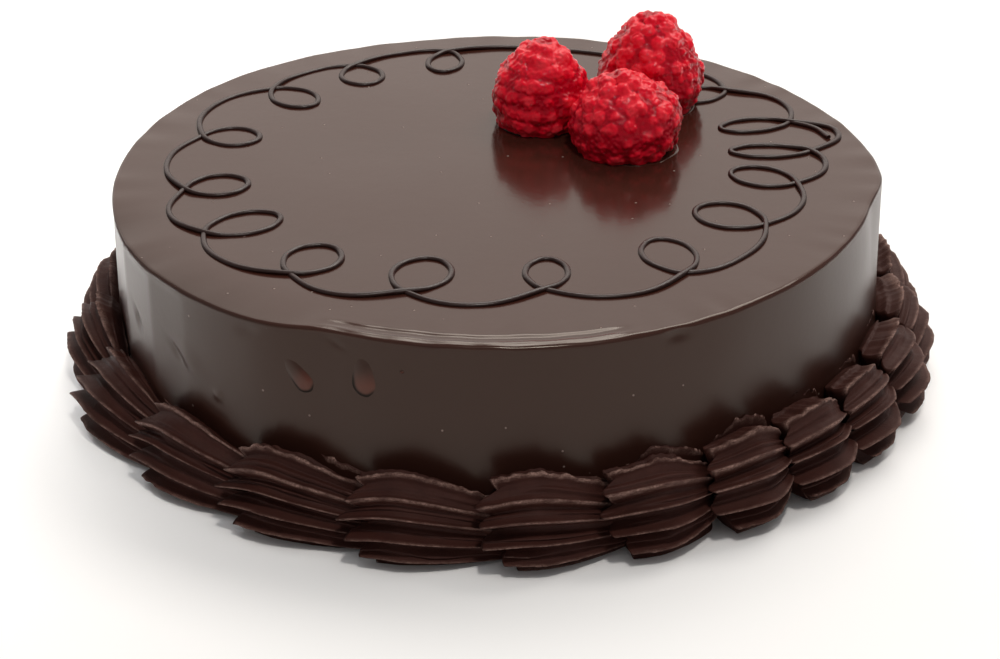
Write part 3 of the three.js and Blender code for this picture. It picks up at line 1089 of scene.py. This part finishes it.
# %% Piped shells
def shell_piece(index, draw):
    shell = Shell(index, draw)
    bm = unit_ball(MERIDIANS, ROWS)
    layer = bm.verts.layers.float.new("ridge")
    for vertex in bm.verts:
        polar = math.acos(clamp(vertex.co.z, -1, 1)) / math.pi
        around = math.atan2(vertex.co.y, vertex.co.x) / (2 * math.pi) % 1
        vertex.co, vertex[layer] = shell.place(polar, around)
    number = f"{index + 1:02d}"
    return bmesh_piece("piped_shell_" + number, bm, cream, ["shell_" + number])


shell_draw = random.Random(SHELL_SEED)
shells = [shell_piece(index, shell_draw) for index in range(SHELL_COUNT)]
print("shells:", len(shells), "of", len(shells[0].data.polygons), "faces")

# %% [markdown]
# ## Berry skin
# The berries are red and wet under a clear glaze: bright red on the drupelets' tops, with a painted pinkish
# sheen in patches, and deep crimson in the creases between them as painted shade. A bit of light passes
# through the skin. Each berry carries an attribute called swell, 1 on the tops and 0 in the creases, and
# the finish mixes its reds and its painted sheen by it.

# %% Berry skin
# Painted shade: the deep crimson of the creases
BERRY_SHADED = (0.44, 0.0008, 0.0120, 1)
BERRY_RED = (0.72, 0.0040, 0.0210, 1)
# Painted sheen: pinkish patches on the drupelets' tops
BERRY_SHEEN = (0.80, 0.028, 0.046, 1)
BERRY_MOTTLE = 300
BERRY_FLECKS = 1500
BERRY_RELIEF = 0.1 * MM


def berry_finish():
    material, shader, place = new_finish("berry_skin")
    top = attribute(place, "swell")
    mottle = cloud(place, BERRY_MOTTLE)
    flecks = cloud(place, BERRY_FLECKS)
    # Painted shade in the creases, by swell
    red = top.ramp((0.1, 0), (0.6, 1)).colours(BERRY_SHADED, BERRY_RED)
    # Painted sheen on the tops, in mottled patches
    painted_sheen = top.ramp((0.5, 0), (1, 1)) * mottle.ramp((0.4, 0), (0.65, 1))
    place.feed(shader, {
        "Base Color": painted_sheen.colours(red, BERRY_SHEEN),
        "Roughness": flecks * 0.08 + 0.02,
        "IOR": 1.36,
        "Specular IOR Level": 0.32,
        "Subsurface Weight": 0.2,
        "Subsurface Radius": (0.004, 0.0006, 0.0006),
        "Subsurface Scale": 0.25,
        "Normal": bump(flecks, BERRY_RELIEF),
    })
    return material


berry_skin = berry_finish()
print("finish:", berry_skin.name)

# %% [markdown]
# ## Berries
# A berry is a cone of small beads over a core. The beads go on in rows, each bead a little out of line, and
# a voxel remesh melts them into one skin. Where the beads of a row crowd together, as on the left berry,
# they melt into a ledge. Rounds of smoothing soften the creases, as the clear glaze does.

# %% Beads of a berry
ROW_PITCH = 2.7 * MM
BEAD_RADIUS = 2.0 * MM
BEAD_UNEVEN = 0.16
CORE_SWELL = 1.58 * MM
BEAD_STRAY = 0.35
BEAD_SWAY = 0.25 * MM
BEAD_LIFT = 0.3 * MM
BERRY_WIDEST = 0.3
BERRY_FOOT = 0.78
OUTLINE_STEPS = 400
CORE_STEPS = 12
CORE_SIDES = 24
# Base centre, width, height, lean in degrees, direction of the lean, bend and roundness of the crown,
# pitch of the beads in a row, and seed
BERRIES = {
    "berry_left": ((7.9 * MM, 27 * MM), 21.2 * MM, 18.6 * MM, 2.5, 0, (2.1, 0.66), 1.6 * MM, 3),
    "berry_front": ((26.8 * MM, 13.4 * MM), 24.2 * MM, 17 * MM, 14, 170, (2.1, 0.66), 3.0 * MM, 11),
    "berry_back": ((31.8 * MM, 37 * MM), 23.6 * MM, 21.2 * MM, 2, 100, (1.6, 0.68), 2.8 * MM, 23),
}


def berry_outline(share, crown):
    """A berry's radius at a share of its height, as a share of its greatest radius."""
    if share < BERRY_WIDEST:
        return mix(1, BERRY_FOOT, (1 - share / BERRY_WIDEST) ** 2)
    bend, roundness = crown
    rise = (share - BERRY_WIDEST) / (1 - BERRY_WIDEST)
    return max(1 - rise ** bend, 0) ** roundness


def berry_heights(radius, height, crown):
    """Shares of the height at which rows of beads lie, one pitch apart along the outline."""
    shares = [0]
    walked = 0
    last = Vector((radius * berry_outline(0, crown), 0))
    for step in range(1, OUTLINE_STEPS + 1):
        share = step / OUTLINE_STEPS
        spot = Vector((radius * berry_outline(share, crown), height * share))
        walked += (spot - last).length
        last = spot
        if walked >= ROW_PITCH:
            shares.append(share)
            walked = 0
    return shares


def berry_beads(width, height, crown, pitch, draw):
    """Rows of overlapping beads in one bmesh, and the radius and height that they are set on."""
    bm = bmesh.new()
    radius = width / 2 - BEAD_RADIUS
    tall = height - BEAD_RADIUS
    for row, share in enumerate(berry_heights(radius, tall, crown)):
        around = radius * berry_outline(share, crown)
        count = max(1, round(2 * math.pi * around / pitch))
        for bead in range(count):
            angle = (bead + 0.5 * (row % 2) + BEAD_STRAY * draw.uniform(-1, 1)) / count * 2 * math.pi
            size = BEAD_RADIUS * (1 + BEAD_UNEVEN * draw.uniform(-1, 1))
            sway = draw.uniform(-BEAD_SWAY, BEAD_SWAY)
            lift = draw.uniform(-BEAD_LIFT, BEAD_LIFT)
            spot = Matrix.Translation(turn(around + sway, angle, share * tall + lift))
            bmesh.ops.create_icosphere(bm, subdivisions=2, radius=size, matrix=spot)
    return bm, radius, tall


def berry_core(bm, radius, tall, crown):
    """Turn the core inside the beads from its outline."""
    outline = [bm.verts.new((0, 0, 0))]
    for step in range(CORE_STEPS):
        share = step / CORE_STEPS
        reach = radius * berry_outline(share, crown) + CORE_SWELL
        outline.append(bm.verts.new((reach, 0, share * tall)))
    outline.append(bm.verts.new((0, 0, tall)))
    edges = [bm.edges.new(pair) for pair in zip(outline, outline[1:])]
    bmesh.ops.spin(
        bm, geom=outline + edges, cent=(0, 0, 0), axis=(0, 0, 1), dvec=(0, 0, 0),
        angle=2 * math.pi, steps=CORE_SIDES, use_merge=True,
    )


print("berries to make:", list(BERRIES))

# %% [markdown]
# The skin is marked with swell before it is wrinkled, while its distance from the core still tells tops
# from creases. Then the berry is leaned, stood on the cake and cut off flat at the glaze, and a thin pool
# of glaze lies round its foot.

# %% Berries
SKIN_VOXEL = 0.26 * MM
SKIN_SMOOTHS = 8
WRINKLE = 0.3 * MM
WRINKLE_LENGTH = 0.8 * MM
LUMP = 0.6 * MM
LUMP_LENGTH = 5 * MM
BERRY_GAP = 0.3 * MM
POOL_HEIGHT = 0.5 * MM
POOL_SPREAD = 1.06
POOL_WAVER = 0.1
POOL_WAVES = 1.4
POOL_SIDES = 96
POOL_ROWS = 24


def melt(bm, name):
    """Melt overlapping balls into one skin, and soften it."""
    lump = add_object(name, as_mesh(bm, name))
    remesh = lump.modifiers.new("skin", "REMESH")
    remesh.mode = "VOXEL"
    remesh.voxel_size = SKIN_VOXEL
    skin = bmesh.new()
    skin.from_mesh(baked_mesh(lump))
    every_way = {"use_axis_x": True, "use_axis_y": True, "use_axis_z": True}
    for _ in range(SKIN_SMOOTHS):
        bmesh.ops.smooth_vert(skin, verts=skin.verts[:], factor=0.5, **every_way)
    return skin


def mark_swell(skin, radius, tall, crown):
    """Mark each vertex, from 0 in a crease to 1 on a bead's top."""
    layer = skin.verts.layers.float.new("swell")
    for vertex in skin.verts:
        inner = radius * berry_outline(clamp(vertex.co.z / tall), crown)
        beyond = math.hypot(vertex.co.x, vertex.co.y) - inner
        over = vertex.co.z - tall
        vertex[layer] = clamp((max(beyond, over) - CORE_SWELL) / (BEAD_RADIUS - CORE_SWELL))


def wrinkle(skin, seed):
    """Move the skin in and out, by fine wrinkles and slow lumps."""
    skin.normal_update()
    for vertex in skin.verts:
        fine = WRINKLE * noise.noise(vertex.co / WRINKLE_LENGTH + Vector((seed, 0, 0)))
        slow = LUMP * noise.noise(vertex.co / LUMP_LENGTH + Vector((0, seed, 0)))
        vertex.co += vertex.normal * (fine + slow)


def stand_on_cake(skin, at, lean, toward):
    """Lean a berry, stand it on the cake and cut it off flat there."""
    direction = math.radians(toward)
    axis = Vector((-math.sin(direction), math.cos(direction), 0))
    leaned = Matrix.Rotation(math.radians(lean), 4, axis)
    place = Matrix.Translation((*at, CAKE_HEIGHT + BERRY_GAP)) @ leaned
    bmesh.ops.transform(skin, matrix=place, verts=skin.verts[:])
    cut = bmesh.ops.bisect_plane(
        skin, geom=skin.verts[:] + skin.edges[:] + skin.faces[:], dist=TOUCHING,
        plane_co=(0, 0, CAKE_HEIGHT), plane_no=(0, 0, 1), clear_inner=True,
    )
    rim = [item for item in cut["geom_cut"] if isinstance(item, bmesh.types.BMEdge)]
    bmesh.ops.holes_fill(skin, edges=rim, sides=0)


def berry_piece(name, at, width, height, lean, toward, crown, pitch, seed):
    draw = random.Random(seed)
    bm, radius, tall = berry_beads(width, height, crown, pitch, draw)
    berry_core(bm, radius, tall, crown)
    bmesh.ops.recalc_face_normals(bm, faces=bm.faces[:])
    skin = melt(bm, name + "_lump")
    mark_swell(skin, radius, tall, crown)
    wrinkle(skin, seed)
    stand_on_cake(skin, at, lean, toward)
    return bmesh_piece("red_" + name, skin, berry_skin, [name])


def wet_pool(name, at, width):
    """A thin pool of glaze under a berry: a flattened ball with a wavering edge."""
    bm = unit_ball(POOL_SIDES, POOL_ROWS)
    reach = width / 2 * BERRY_FOOT * POOL_SPREAD
    for vertex in bm.verts:
        waver = POOL_WAVER * noise.noise(vertex.co * POOL_WAVES + Vector((width / MM, 0, 0)))
        spread = reach * (1 + waver)
        vertex.co = vertex.co * Vector((spread, spread, POOL_HEIGHT))
    bmesh.ops.translate(bm, verts=bm.verts[:], vec=(*at, CAKE_HEIGHT))
    return bmesh_piece("wet_pool_" + name, bm, glaze)


berries = [berry_piece(name, *facts) for name, facts in BERRIES.items()]
pools = [wet_pool(name, facts[0], facts[1]) for name, facts in BERRIES.items()]
print("berries:", [(berry.name, len(berry.data.polygons)) for berry in berries], "on", len(pools), "pools")
